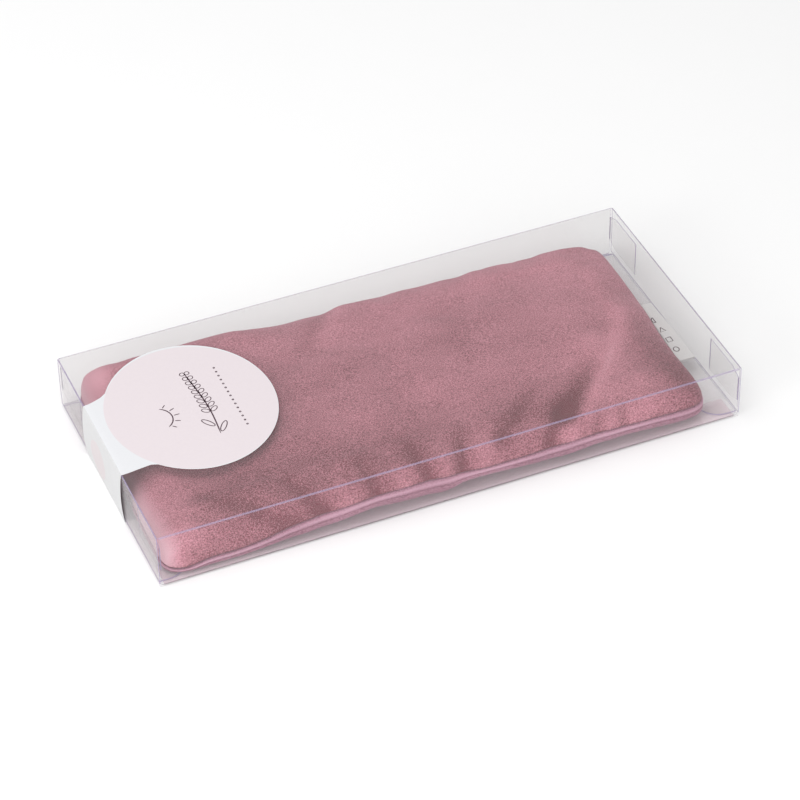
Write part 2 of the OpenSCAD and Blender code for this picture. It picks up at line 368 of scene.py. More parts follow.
def build_sleeve():
    """The carton's tube: one sheet bent at its creases, with the glue flap."""
    rows = sleeve_stations()
    across = np.concatenate([[0, 0.004, 0.012], np.linspace(0.03, 0.97, 40), [0.988, 0.996, 1]])
    grid = np.zeros((len(rows), len(across), 3))
    kinds = []
    for i, (y, z, left, right, _) in enumerate(rows):
        x = left + (right - left) * across
        inside = np.clip(np.minimum(x - left, right - x) / 60, 0, 1)
        bow = inside * (2 - inside)
        # each panel gives a little between its creases
        across_share = 1 - (y / WALL_Y) ** 2
        top_share = across_share * (z > TOP_Z - 0.01)
        base_share = across_share * (z < BASE_Z + 0.01)
        height = (z - BASE_Z) / (TOP_Z - BASE_Z)
        wall_share = 4 * height * (1 - height) * (abs(y) > WALL_Y - 0.01)
        ripple = np.sin(x / 23 + y / 31) * 0.06 + np.sin(x / 41 - y / 17 + 1) * 0.05
        dz = top_share * (ripple * 1.5 - 0.25 * bow) + base_share * 0.02
        dy = wall_share * np.sign(y) * (-0.35 * bow + ripple * 1.2)
        grid[i] = np.stack([x, y + dy, z + dz], 1)
    for a, b in zip(rows[:-1], rows[1:]):
        kinds.append(next((k for k in (LOW_BEND, BEND, GLUED, FRONT) if k in (a[4], b[4])), FACE))
    looks = [FILM, EDGE, CREASE, FLAP_FILM_PAINTED_REFLECTION, LOW_CREASE_AND_SHADOW, FAINT_EDGE, FRONT_FILM_PAINTED_REFLECTION]
    sleeve = thin_sheet("clear_sleeve", grid, SHEET_T, looks, kinds, lambda point: LOW_RIM if point[2] < 1 else RIM)
    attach(sleeve, "carton")
    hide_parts("top_panel", "front_panel", "bottom_panel", "back_panel", "glue_flap")


TUCK_X, TUCK_END, TUCK_HALF, TUCK_ROUND = 106.7, 119.55, 55.2, 9.0    # free edge, root, half width, corner radius
TUCK_INSETS = (0, 0.4, 1.6, 4.5, 8.6, 12.75)
DUST_BEVEL = 5.0        # width of the dust flap's bevelled root
LIT, FAINT = 1, 2       # indices of a flap's two edge materials


def build_end(side, sign, lid_body, tuck_body, dust_bodies):
    """Lid, tuck flap and dust flaps of one end, with the creases that join them."""
    def placed(grid):
        """The grid as it is, or mirrored for the left end, a paper's thickness further in."""
        grid = np.array(grid, float)
        if sign < 0:
            grid[..., 0] = -(grid[..., 0] - PAPER_T)
        return grid

    lid_low, lid_high = 1.45, 23.45
    lid = [[(END_X + 0.25 * sin(pi * (z - lid_low) / (lid_high - lid_low)) * cos(y / 45), y, z)
            for z in np.linspace(lid_low, lid_high, 9)] for y in np.linspace(-56.7, 56.7, 41)]
    made = [(f"{side}_lid_film", lid, 0, lid_body, f"{side}_lid")]

    # the tuck flap, as U-shaped lines further and further in from its cut edge, which shows as a lit border
    tuck = []
    for inset in TUCK_INSETS:
        x0, half, radius = TUCK_X + inset, TUCK_HALF - inset, max(TUCK_ROUND - inset, 0.05)
        front = [(x0, y) for y in np.linspace(0, half - radius, 12)[:-1]]
        corner = [(x0 + radius * (1 - cos(b)), half - radius * (1 - sin(b))) for b in np.linspace(0, pi / 2, 12)]
        flank = [(x, half) for x in np.linspace(corner[-1][0], TUCK_END, 4)[1:]]
        line = front + corner + flank
        line = [(x, -y) for x, y in line[:0:-1]] + line
        tuck.append([(x, y, 1.06 + 0.04 * cos(y / 20)) for x, y in line])
    made.append((f"{side}_tuck_film", tuck, [LIT, 0, 0, 0, 0], tuck_body, f"{side}_tuck_flap"))

    spans = np.concatenate([np.linspace(0, DUST_BEVEL, 4), np.linspace(DUST_BEVEL, 22.95, 9)[1:], [23.3]])
    for name, way, body in (("front", -1, dust_bodies[0]), ("back", 1, dust_bodies[1])):
        dust = []
        for span in spans:
            bevel = 2 * (1 - min(span / DUST_BEVEL, 1))
            dust.append([(DUST_X, way * (56.3 - span), z) for z in np.linspace(6 + bevel, 21.28 - bevel, 6)])
        made.append((f"{side}_{name}_dust_film", dust, [0] * 11 + [LIT], body, f"{side}_{name}_dust_flap"))

    for name, grid, kinds, body, node in made:
        # the left lid takes the grey veil of painted reflection
        sheet = END_FILM_PAINTED_REFLECTION if name == "left_lid_film" else FILM
        flap = thin_sheet(name, placed(grid), SHEET_T, [sheet, EDGE, FAINT_EDGE], kinds,
                          lambda point: FAINT if "dust" in name and point[2] < 8.5 else LIT)
        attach(flap, body)
        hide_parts(node)

    # creases: a quarter turn of the sheet between two flat pieces
    top = [[(119.58 + 0.27 * sin(t), y, 23.46 + 0.27 * cos(t)) for y in np.linspace(-56.4, 56.4, 31)]
           for t in QUARTER_TURN]
    low = [[(119.6 + 0.25 * sin(t), y, 1.35 - 0.25 * cos(t)) for y in np.linspace(-55, 55, 31)]
           for t in QUARTER_TURN]
    creases = [(f"{side}_lid_crease", top, CREASE, ("carton", lid_body), (119.58, 23.73), (119.85, 23.46)),
               (f"{side}_tuck_crease", low, FAINT_EDGE, (lid_body, tuck_body), (119.85, 1.35), (119.6, 1.1))]
    for name, grid, tint, bodies, start, stop in creases:
        crease = thin_sheet(name, placed(grid), CREASE_T, [tint, tint])
        if bodies[0] == bodies[1]:
            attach(crease, bodies[0])
        else:
            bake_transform(crease)
    for name, way, body in (("front", -1, dust_bodies[0]), ("back", 1, dust_bodies[1])):
        heights = np.linspace(8.2, 19.1, 6)
        grid = [[(DUST_X, way * (WALL_Y - 0.55 * t), z) for z in heights] for t in np.linspace(0, 1, 5)]
        crease = thin_sheet(f"{side}_{name}_dust_crease", placed(grid), CREASE_T, [CREASE, EDGE])
        if body == "carton":
            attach(crease, body)
        else:
            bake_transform(crease)


build_sleeve()
build_end("right", 1, "right_lid", "right_tuck", ("right_front_dust", "right_back_dust"))
build_end("left", -1, "carton", "carton", ("carton", "carton"))

# the one CAD node that shows in its own form
glue_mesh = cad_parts["glue_strip"].data
glue_mesh.materials.clear()
glue_mesh.materials.append(GLUE)


# ---- Paper label ----

DISC = (-82.2, 8.7, 33.0, 37.2)     # centre x and y, half length along x and half width along y
LOWER_DISC_Y = 3.3
STRAP = (-18.2, 25.2)               # front and back edge


def label_edges(x, centre_y):
    """The label's front and back edge at x: the disc, and the neck that joins it to the strap."""
    cx, _, ax, ay = DISC
    share = np.clip(1 - ((x - cx) / ax) ** 2, 0, None) ** 0.5
    front, back = centre_y - ay * share, centre_y + ay * share
    if x < cx:
        neck = smooth(-106, -120, x)
        front, back = min(front, -17.2 - 1.2 * neck), max(back, 28.8 - 3.6 * neck)
    return front, back


def build_label():
    """One die-cut sheet: the upper disc, the strap down the sealed end, and the disc underneath."""
    tip = DISC[0] + DISC[2]
    over = tip - (tip + 119.7) * (1 - np.cos(np.linspace(0, pi / 2, 46)))
    turns = QUARTER_TURN[1:]
    rows = [(x, 23.94, *label_edges(min(x, tip - 0.02), DISC[1])) for x in over]
    rows += [(-119.7 - 0.24 * sin(turn), 23.70 + 0.24 * cos(turn), *STRAP) for turn in turns]
    rows += [(-119.94, z, *STRAP) for z in np.linspace(23.7, 0.5, 14)[1:]]
    rows += [(-119.5 - 0.44 * cos(turn), 0.5 - 0.44 * sin(turn), *STRAP) for turn in turns]
    rows += [(x, 0.06, *label_edges(min(x, tip - 0.02), LOWER_DISC_Y)) for x in over[::-1][1:]]
    across = np.linspace(0, 1, 31)
    grid = np.zeros((len(rows), len(across), 3))
    for i, (x, z, front, back) in enumerate(rows):
        y = front + (back - front) * across
        bulge = np.zeros_like(across)
        if x < -119:
            # the strap stands off the lid between its two folds, most at its free edges
            high = np.clip((z - 0.1) / 23.7, 0, 1)
            bulge += sin(pi * high) ** 0.8 * (0.35 + 0.55 * np.abs(2 * across - 1) ** 2)
        grid[i] = np.stack([x - bulge, y, np.full_like(y, z)], 1)
    label = thin_sheet("wrap_label", grid[:, ::-1], PAPER_T, [PAPER, PAPER_EDGE])
    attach(label, "carton")
    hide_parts("label_top", "label_end", "label_bottom")


def ellipse_mask(look, first, second, soft):
    """1 inside an ellipse, 0 outside, from two object coordinates, each (axis, centre, half size), and the node
    that splits the coordinates."""
    split = look.node("ShaderNodeSeparateXYZ", {"Vector": look.place})
    squares = []
    for axis, centre, half in (first, second):
        u = look.math("DIVIDE", look.math("SUBTRACT", split.outputs[axis], centre * MM), half * MM)
        squares.append(look.math("MULTIPLY", u, u))
    return look.remap(look.math("ADD", *squares), 1 - soft, 1 + soft, 1.0, 0.0), split


paper_look = Look("label_paper", (0.8, 0.81, 0.83), Roughness=0.55, Specular_IOR_Level=0.35)
upper_mask, place = ellipse_mask(paper_look, ("X", -82.3, 32.9), ("Y", 8.4, 36.5), 0.006)
on_top = paper_look.math("GREATER_THAN", place.outputs["Z"], 12 * MM)
grain = paper_look.noise(900, 3)
white = paper_look.mix(grain, (0.705, 0.71, 0.735), (0.735, 0.74, 0.76))
pink = paper_look.mix(grain, (0.70, 0.63, 0.655), (0.73, 0.66, 0.685))
# painted shade: the paper down the strap on the end is painted darker than on top, and so is its small printed pink
# disc
strap_white_painted_shade = paper_look.mix(grain, (0.56, 0.56, 0.565), (0.585, 0.585, 0.59))
small_mask, _ = ellipse_mask(paper_look, ("Y", 9.5, 8.0), ("Z", 9.5, 8.0), 0.03)
strap_paper_painted_shade = paper_look.mix(small_mask, strap_white_painted_shade, (0.585, 0.535, 0.545))
# where the strap's painted shade goes
painted_shade_on_strap = paper_look.math("LESS_THAN", place.outputs["X"], -119.75 * MM)
flat_paper = paper_look.mix(paper_look.math("MULTIPLY", upper_mask, on_top), white, pink)
paper_look.set("Base Color", paper_look.mix(painted_shade_on_strap, flat_paper, strap_paper_painted_shade))
paper_look.set("Roughness", paper_look.remap(paper_look.noise(120, 3), 0.3, 0.7, 0.48, 0.62))
paper_look.bump(paper_look.noise(700, 4), 0.15, 0.05)
PAPER = paper_look.material
paper_edge_look = Look("label_paper_cut_edge", (0.86, 0.86, 0.87), Roughness=0.8)
paper_edge_look.bump(paper_edge_look.noise(1500, 2), 0.3, 0.05)
PAPER_EDGE = paper_edge_look.material
build_label()


def stroke(points, width, z, taper=True):
    """A flat printed line along points (x, y), slightly above height z."""
    points = np.asarray(points, float)
    along = np.gradient(points, axis=0)
    along /= np.maximum(np.linalg.norm(along, axis=1, keepdims=True), 1e-9)
    side = np.stack([-along[:, 1], along[:, 0]], 1)
    n = len(points)
    half = np.full(n, width / 2)
    if taper:
        half = half * np.clip(np.minimum(np.arange(n), np.arange(n)[::-1]) / (0.12 * n) + 0.35, 0, 1)
    rows = [points + side * half[:, None], points - side * half[:, None]]
    flat = np.concatenate([np.column_stack([r, np.full(n, z)]) for r in rows])
    return flat, [[i, i + 1, n + i + 1, n + i] for i in range(n - 1)]


def arc(cx, cy, rx, ry, start, stop, steps=24, tilt=0.0):
    a = np.radians(np.linspace(start, stop, steps))
    x, y = rx * np.cos(a), ry * np.sin(a)
    c, s = cos(radians(tilt)), sin(radians(tilt))
    return np.stack([cx + x * c - y * s, cy + x * s + y * c], 1)


def build_print():
    """Generic art: a closed eye with lashes, a sprig of lavender and a dotted rule."""
    z = 24.02
    # the eye is an arc that opens towards -X, and its lashes point towards +X
    eye_x, eye_y = -97.0, 6.0
    parts = [stroke(arc(eye_x, eye_y, 6.2, 6.4, -62, 62), 0.5, z)]
    for turn in (-52, -26, 0, 26, 52):
        a = radians(turn)
        inner = np.array([eye_x + 6.9 * cos(a), eye_y + 7.1 * sin(a)])
        outer = inner + np.array([cos(a), 0.8 * sin(a)]) * 2.4
        parts.append(stroke(np.linspace(inner, outer, 6), 0.42, z))
    # the sprig runs along Y
    stem_y = np.linspace(-11, 28, 40)
    stem = np.stack([-77.4 + 1.1 * np.sin((stem_y + 11) / 39 * pi * 1.2), stem_y], 1)
    parts.append(stroke(stem, 0.55, z))
    for k, (x, y) in enumerate(stem[14::3]):
        reach = 0.55 * (3.1 - 0.17 * k)
        for way in (-1, 1):
            bud = arc(x + way * reach, y + 0.6, reach, 0.95, 0, 360, 16, tilt=90 - way * 52)
            parts.append(stroke(bud, 0.36, z, taper=False))
    for way, y0 in ((1, -7.5), (-1, -3.5)):
        leaf = arc(-77.2 + way * 2.4, y0, 3.1, 1.0, 0, 360, 20, tilt=90 - way * 35)
        parts.append(stroke(leaf, 0.4, z, taper=False))
    for y in np.arange(-10, 27, 2.6):
        parts.append(stroke(arc(-66.2, y, 0.32, 0.32, 0, 360, 10), 0.36, z, taper=False))
    points, faces = join(parts)
    art = make_object("label_art", points, faces, [INK])
    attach(art, "carton")


ink_look = Look("label_ink", (0.05, 0.02, 0.035), Roughness=0.5)
ink_look.set("Base Color", ink_look.mix(ink_look.noise(1200, 3), (0.045, 0.018, 0.03), (0.10, 0.05, 0.07)))
INK = ink_look.material
build_print()


# ---- Pillow ----

PX0, PX1, HALF_P = -118.3, 113.1, 55.7      # the outline's ends and half width
MID_X, HALF_X = (PX0 + PX1) / 2, (PX1 - PX0) / 2
CORNER, SQUARE = 22.0, 5.5      # size of the outline's superellipse corners, and their power
ROLL_TOP, ROLL_LOW = 22.0, 20.0     # how far in from the outline the panels curve
LOWEST = 0.75                   # height of the pillow's underside
GRID_INSET = 2.5                # where a panel's grid ends and its rolled edge starts
NX, NY = 106, 52                # points of a panel's grid
CLOTH_NX, CLOTH_NY = 60, 30     # points of the coarser grids: the simulated cloth and the inner bag

# Height of the side seam along the front, and of the lower edge of the strip below it
SEAM_FRONT = [(-118, 3.2), (-110, 3.0), (-100, 4.9), (-89, 5.0), (-80, 5.8), (-63, 9.0), (-46, 10.3), (-30, 11.2),
              (-15, 11.3), (0, 10.4), (16, 9.4), (35, 9.5), (54, 10.1), (74, 9.6), (94, 9.2), (108, 8.4), (114, 8.0)]
STRIP_FRONT = [(-118, 1.5), (-98, 1.5), (-85, 1.6), (-70, 2.4), (-50, 3.7), (-35, 5.6), (-15, 4.2), (-2, 3.6),
               (6, 5.6), (25, 4.9), (45, 3.7), (59, 4.6), (84, 4.9), (100, 3.6), (114, 3.0)]
SEAM_BACK = [(-118, 8.4), (-60, 7.4), (0, 8.8), (60, 7.8), (114, 8.3)]

# Folds pressed into the velvet: points (x, y), half width, height at the first and last point (a valley is below 0)
FOLDS = [
    ([(78, -14), (70, -28), (61, -38), (51, -46.5)], 5.6, 0.7, -3.0),
    ([(50, -44), (42, -52), (38, -57)], 2.2, -0.6, -1.2),
    ([(99, -2), (88, -19), (75, -32), (62, -43), (49, -54)], 4.0, 0.7, 1.3),
    ([(-114, -53), (-105, -55), (-96, -56)], 1.8, -0.7, -0.4),
    ([(40, -33), (31, -41), (22, -49)], 3.4, -0.5, -1.1),
    ([(8, -40), (5, -49), (3, -57)], 2.6, -0.4, -1.3),
    ([(-14, -37), (-13, -47), (-10, -57)], 2.6, -0.4, -1.3),
    ([(-34, -43), (-32, -57)], 2.4, -0.4, -1.1),
    ([(-63, -41), (-58, -50), (-53, -57)], 2.8, -0.5, -1.3),
    ([(-97, -36), (-88, -43), (-78, -49)], 3.0, -0.7, -0.5),
    ([(-79, -50), (-70, -55), (-64, -57)], 2.2, -0.5, -0.9),
    ([(16, -44), (13, -56)], 3.2, 0.2, 0.6),
    ([(-3, -44), (-3, -56)], 3.2, 0.2, 0.6),
    ([(-23, -44), (-21, -56)], 3.2, 0.2, 0.6),
    ([(-45, -46), (-43, -57)], 4.0, 0.2, 0.6),
    ([(-10, 54), (-18, 42), (-27, 30)], 3.8, -0.6, -0.4),
    ([(-3, 52), (-12, 38), (-18, 27)], 4.0, 0.5, 0.2),
    ([(103, -10), (103, -30), (105, -48)], 8.0, -0.3, -0.8),
    ([(64, -49), (60, -57)], 2.2, -0.3, -1.0),
    ([(75, -48), (72, -57)], 2.2, -0.3, -1.0),
    ([(82, 53), (78, 44)], 3.0, -0.6, -0.2),
    ([(47, 53), (42, 46)], 3.0, -0.5, -0.2),
]

# How far the right and the left end lie in from the outline's box, by y
RIGHT_IN = [(-57, 4.0), (-47, 3.9), (-31, 4.2), (-15, 4.2), (0, 3.2), (17, 2.3), (40, 1.7), (57, 1.4)]
LEFT_IN = [(-57, 1.0), (-50, 1.2), (-40, 1.6), (-20, 1.9), (0, 2.4), (20, 2.6), (40, 3.0), (57, 3.0)]


def into_corner(x, y):
    """How far a point reaches into the bands along the outline's ends and sides, as wide as a corner."""
    return (np.maximum(CORNER - (HALF_X - np.abs(x - MID_X)), 0), np.maximum(CORNER - (HALF_P - np.abs(y)), 0))


def inset_of(x, y):
    """Distance in from the pillow's outline, up to CORNER."""
    a, b = into_corner(x, y)
    return CORNER - (a ** SQUARE + b ** SQUARE) ** (1 / SQUARE)


def front_share(y):
    """1 along the front edge, 0 along the back."""
    return smooth(34, -44, y)


def seam_height(x, y):
    f = front_share(y)
    return through(x, SEAM_FRONT) * f + through(x, SEAM_BACK) * (1 - f)


def strip_height(x, y):
    """Height of the lower edge of the strip below the seam."""
    f = front_share(y)
    return through(x, STRIP_FRONT) * f + (through(x, SEAM_BACK) - 4.2) * (1 - f)


def floor_under(x, y):
    """Lowest height for the pillow: it lies on the bottom panel, the glue flap and the tuck flaps."""
    on_flap = 0.35 * smooth(-43, -46.5, y)
    on_tuck = 0.95 * np.maximum(smooth(-101, -106, x), smooth(98, 103, x))
    return LOWEST - 0.25 + np.maximum(on_flap, on_tuck)


def back_left(x, y):
    """1 where the pillow is pressed full against the back wall, left of its back fold."""
    return smooth(-25, -52, x) * smooth(10, 42, y)


def crown(x, y):
    """Height of the top panel away from the edge."""
    return (20.3 + 1.5 * back_left(x, y) - 2.9 * smooth(55, 98, x) * smooth(0, 46, y)
            - 3.0 * smooth(94, 114, x) * smooth(34, 57, y)
            + 0.35 * np.sin(x / 31 + 0.6) * np.cos(y / 27) + 0.3 * np.sin(x / 17 - y / 23 + 2)
            - 0.8 * smooth(85, 112, x) - 0.5 * smooth(-80, -112, x))


def top_height(x, y, inset):
    roll = ROLL_TOP - 10 * back_left(x, y)
    rise = np.sqrt(np.clip(1 - (1 - np.clip(inset / roll, 0, 1)) ** 2, 0, 1))
    seam = seam_height(x, y)
    return seam + (crown(x, y) - seam) * rise


def low_height(x, y, inset):
    fall = np.sqrt(np.clip(1 - (1 - np.clip((inset - 1) / ROLL_LOW, 0, 1)) ** 2, 0, 1))
    strip = np.minimum(strip_height(x, y), seam_height(x, y) - 0.8)
    return strip + (LOWEST - strip) * fall


def near(points, x, y):
    """Distance from a line of points, and how far along it from 0 to 1."""
    best, where = np.full(x.shape, 1e9), np.zeros(x.shape)
    points = np.array(points, float)
    runs = np.linalg.norm(np.diff(points, axis=0), axis=1)
    done = 0.0
    for (ax, ay), (dx, dy), run in zip(points, np.diff(points, axis=0), runs):
        t = np.clip(((x - ax) * dx + (y - ay) * dy) / run ** 2, 0, 1)
        d = np.hypot(x - ax - t * dx, y - ay - t * dy)
        closer = d < best
        best = np.where(closer, d, best)
        where = np.where(closer, (done + t * run) / runs.sum(), where)
        done += run
    return best, where


def fold_field(x, y):
    total = np.zeros(x.shape)
    for points, width, first, last in FOLDS:
        d, t = near(points, x, y)
        total += (first + (last - first) * t) * np.exp(-(d / width) ** 2)
    return total


def warp_corners(x, y, half_x, half_y, size):
    """Bends a rectangle's grid into the outline, whose corners start this far from its ends."""
    p = np.clip(1 - (half_x - np.abs(x)) / size, 0, 1)
    q = np.clip(1 - (half_y - np.abs(y)) / size, 0, 1)
    pull = np.maximum(p, q) / np.maximum((p ** SQUARE + q ** SQUARE) ** (1 / SQUARE), 1e-9)
    new_x = np.where(p > 0, half_x - size + size * p * pull, np.abs(x))
    new_y = np.where(q > 0, half_y - size + size * q * pull, np.abs(y))
    return np.sign(x) * new_x, np.sign(y) * new_y


def plan_grid(nx, ny, inset):
    """A grid of plan positions that fills the outline moved in by inset."""
    half_x, half_y = HALF_X - inset, HALF_P - inset
    x, y = np.meshgrid(np.linspace(-half_x, half_x, nx), np.linspace(-half_y, half_y, ny), indexing="ij")
    x, y = warp_corners(x, y, half_x, half_y, CORNER - inset)
    return x + MID_X, y


def outward(x, y):
    """Unit direction out of the pillow's outline at points near it."""
    a, b = into_corner(x, y)
    side = np.stack([np.sign(x - MID_X) * a ** (SQUARE - 1), np.sign(y) * b ** (SQUARE - 1)], -1)
    return side / np.maximum(np.linalg.norm(side, axis=-1, keepdims=True), 1e-9)


def shape_ends(points):
    """Moves the pillow's ends in, by the amounts of RIGHT_IN and LEFT_IN."""
    x, y = points[:, 0], points[:, 1]
    points[:, 0] = (x - through(y, RIGHT_IN) * smooth(50, 105, x)
                    + through(y, LEFT_IN) * smooth(-60, -110, x))
    return points


def vertex_normals(points, faces):
    quads = np.asarray(faces)
    a, b, c, d = (points[quads[:, k]] for k in range(4))
    n = np.cross(c - a, d - b)
    total = np.zeros_like(points)
    for k in range(4):
        np.add.at(total, quads[:, k], n)
    return total / np.maximum(np.linalg.norm(total, axis=1, keepdims=True), 1e-12)


# The rolled edge beyond a panel's grid: distance in from the outline, and share of the height above or below the seam.
# The underside's has two bands with a groove between them.
TOP_EDGE = [(1.75, 0.80), (1.10, 0.60), (0.72, 0.42), (0.55, 0.26), (0.60, 0.12), (0.85, 0.04), (1.45, 0.0)]
LOW_EDGE = [(1.35, 0.98), (0.62, 0.88), (0.25, 0.70), (0.20, 0.56), (0.60, 0.48), (0.14, 0.40), (0.06, 0.22),
            (0.40, 0.06), (1.45, 0.0)]


def panel(sign):
    """Points, faces and levels of one cover panel, before its folds. sign is 1 for the top and -1 for the
    underside. The level falls from 1 on the grid to 0 at the edge turned in along the seam."""
    x, y = (g.ravel() for g in plan_grid(NX, NY, GRID_INSET))
    depth = inset_of(x, y)
    height = top_height(x, y, depth) if sign > 0 else low_height(x, y, depth)
    points = [np.stack([x, y, height], 1)]
    ring = border(NX, NY)
    bx, by = x[ring], y[ring]
    out = outward(bx, by)
    edge = height[ring]
    seam = seam_height(bx, by)
    strip = np.minimum(strip_height(bx, by), seam - 1.2)
    if sign > 0:
        profile = [(inset, seam + (edge - seam) * share) for inset, share in TOP_EDGE]
    else:
        profile = [(inset, seam - (seam - strip) * share) for inset, share in LOW_EDGE]
        profile[0] = (profile[0][0], np.minimum(profile[0][1], edge + (profile[1][1] - edge) * 0.45))
    for inset, z in profile:
        move = GRID_INSET - inset
        points.append(np.stack([bx + out[:, 0] * move, by + out[:, 1] * move, z], 1))
    count, n = NX * NY, len(ring)
    faces = grid_faces(NX, NY, flip=sign < 0)
    inner = ring
    for k in range(len(profile)):
        outer = count + k * n + np.arange(n)
        quads = np.stack([np.roll(inner, -1), inner, outer, np.roll(outer, -1)], 1)
        faces += quads[:, ::sign].tolist()
        inner = outer
    points = np.concatenate(points)
    level = np.concatenate([np.ones(count), *[np.full(n, 1 - (k + 1) / len(profile)) for k in range(len(profile))]])
    return points, faces, level


def sculpt(points, faces, level, sign, settle):
    """Moves a panel's points along their normals by the folds and by the simulated cloth's movement, which settle
    gives at plan positions, and keeps them inside the carton."""
    normals = vertex_normals(points, faces)
    x, y = points[:, 0], points[:, 1]
    hold = np.clip(level * 1.6, 0, 1)
    folds = fold_field(x, y) if sign > 0 else 0.25 * fold_field(x, y)
    moved = points + normals * ((folds + settle(x, y, sign)) * hold)[:, None]
    moved[:, 2] = np.clip(moved[:, 2], floor_under(moved[:, 0], moved[:, 1]), 23.1)
    moved[:, 1] = np.clip(moved[:, 1], -56.25, 56.25)
    return moved, folds


SETTLE_FRAMES, SETTLE_SHARE, SETTLE_CAP = 20, 0.45, 0.75


def simulate_settling():
    """Inflates a slightly smaller closed bag as cloth, and returns its movement along the normal as a function."""
    nx, ny, inset = CLOTH_NX, CLOTH_NY, 0.6
    x, y = (g.ravel() for g in plan_grid(nx, ny, inset))
    depth = inset_of(x, y)
    ring = border(nx, ny)
    top = np.stack([x, y, top_height(x, y, depth) - 1.0], 1)
    low = np.stack([x, y, low_height(x, y, depth)], 1)
    top[ring, 2] = seam_height(x[ring], y[ring])
    points, faces, lower_index = closed_shell(top.reshape(nx, ny, 3), low.reshape(nx, ny, 3))
    bag = make_object("pillow_cloth", points + rng.normal(0, 0.05, points.shape), faces, [])
    group = bag.vertex_groups.new(name="seam")
    group.add([int(i) for i in ring], 1.0, "REPLACE")
    cloth = bag.modifiers.new("cloth", "CLOTH")
    wanted = {"quality": 6, "mass": 0.25, "tension_stiffness": 12, "compression_stiffness": 12, "shear_stiffness": 4,
              "bending_stiffness": 0.35, "use_pressure": True, "uniform_pressure_force": 4, "shrink_min": -0.035,
              "vertex_group_mass": "seam"}
    for key, value in wanted.items():
        setattr(cloth.settings, key, value)
    cloth.settings.effector_weights.gravity = 0
    scene.frame_start, scene.frame_end = 1, SETTLE_FRAMES
    for step in range(1, SETTLE_FRAMES + 1):
        scene.frame_set(step)
    shaped = bag.evaluated_get(bpy.context.evaluated_depsgraph_get()).to_mesh()
    co = np.zeros(len(shaped.vertices) * 3)
    shaped.vertices.foreach_get("co", co)
    after = co.reshape(-1, 3) / MM
    scene.frame_set(1)
    bpy.data.objects.remove(bag)
    normals = vertex_normals(points, faces)
    along = ((after - points) * normals).sum(1)
    maps = {}
    for sign, index in ((1, np.arange(nx * ny)), (-1, lower_index)):
        field = along[index].copy()
        # keep the cloth's creases, and leave the pillow's overall fullness as modelled
        bands = np.minimum(depth / 2, 9).astype(int)
        for band in np.unique(bands):
            field[bands == band] -= np.median(field[bands == band])
        maps[sign] = np.clip(SETTLE_SHARE * field.reshape(nx, ny), -SETTLE_CAP, SETTLE_CAP)

    def settle(px, py, sign):
        u = np.clip((px - PX0 - inset) / (2 * (HALF_X - inset)), 0, 1) * (nx - 1)
        v = np.clip((py + HALF_P - inset) / (2 * (HALF_P - inset)), 0, 1) * (ny - 1)
        i, j = np.clip(u.astype(int), 0, nx - 2), np.clip(v.astype(int), 0, ny - 2)
        s, t = u - i, v - j
        s, t = s * s * (3 - 2 * s), t * t * (3 - 2 * t)
        field = maps[sign]
        return (field[i, j] * (1 - s) * (1 - t) + field[i + 1, j] * s * (1 - t)
                + field[i, j + 1] * (1 - s) * t + field[i + 1, j + 1] * s * t)
    return settle


def velvet_look(name, deep, light, tip, sheen):
    """Short-pile velvet: fine speckle of the pile, brushed patches, and a sheen at grazing angles, with painted light
    and shade from a point attribute, and tip as the painted highlight colour where that is lightest.
    """
    look = Look(name, light, Roughness=0.85, Specular_IOR_Level=0.15, Sheen_Weight=sheen, Sheen_Roughness=0.42)
    look.shader.inputs["Sheen Tint"].default_value = (1.0, 0.76, 0.82, 1)
    speck = look.noise(2100, 1, 0.5)
    brushed = look.noise(46, 4, 0.6, stretch=(1, 1.7, 1))
    # painted light and shade, from the point attribute that the covers carry
    painted_light_and_shade = look.attribute("painted_light_and_shade")
    worn = look.math("ADD", look.remap(brushed, 0.3, 0.7, -0.09, 0.09),
                     look.remap(look.noise(13, 2, 0.5), 0.3, 0.7, -0.10, 0.10))
    lit = look.math("ADD", look.remap(speck, 0.3, 0.7, 0.16, 0.96), worn)
    lit = look.math("ADD", lit, painted_light_and_shade, clamp=True)
    base = look.mix(lit, deep, light)
    # painted highlight: the lightest painted light turns towards tip
    base = look.mix(look.remap(painted_light_and_shade, 0.25, 0.8, 0.0, 0.7), base, tip)
    look.set("Base Color", base)
    look.set("Roughness", look.remap(speck, 0.3, 0.7, 0.78, 0.95))
    look.bump(look.math("ADD", speck, look.math("MULTIPLY", brushed, 0.15)), 0.35, 0.2)
    return look.material


# colours: deep pile, light pile, and the painted highlight colour
VELVET = velvet_look("velvet", (0.135, 0.022, 0.034), (0.605, 0.252, 0.31), (0.74, 0.49, 0.55), 0.17)
VELVET_UNDER = velvet_look("velvet_underside", (0.18, 0.06, 0.095), (0.43, 0.21, 0.285), (0.66, 0.42, 0.51), 0.3)


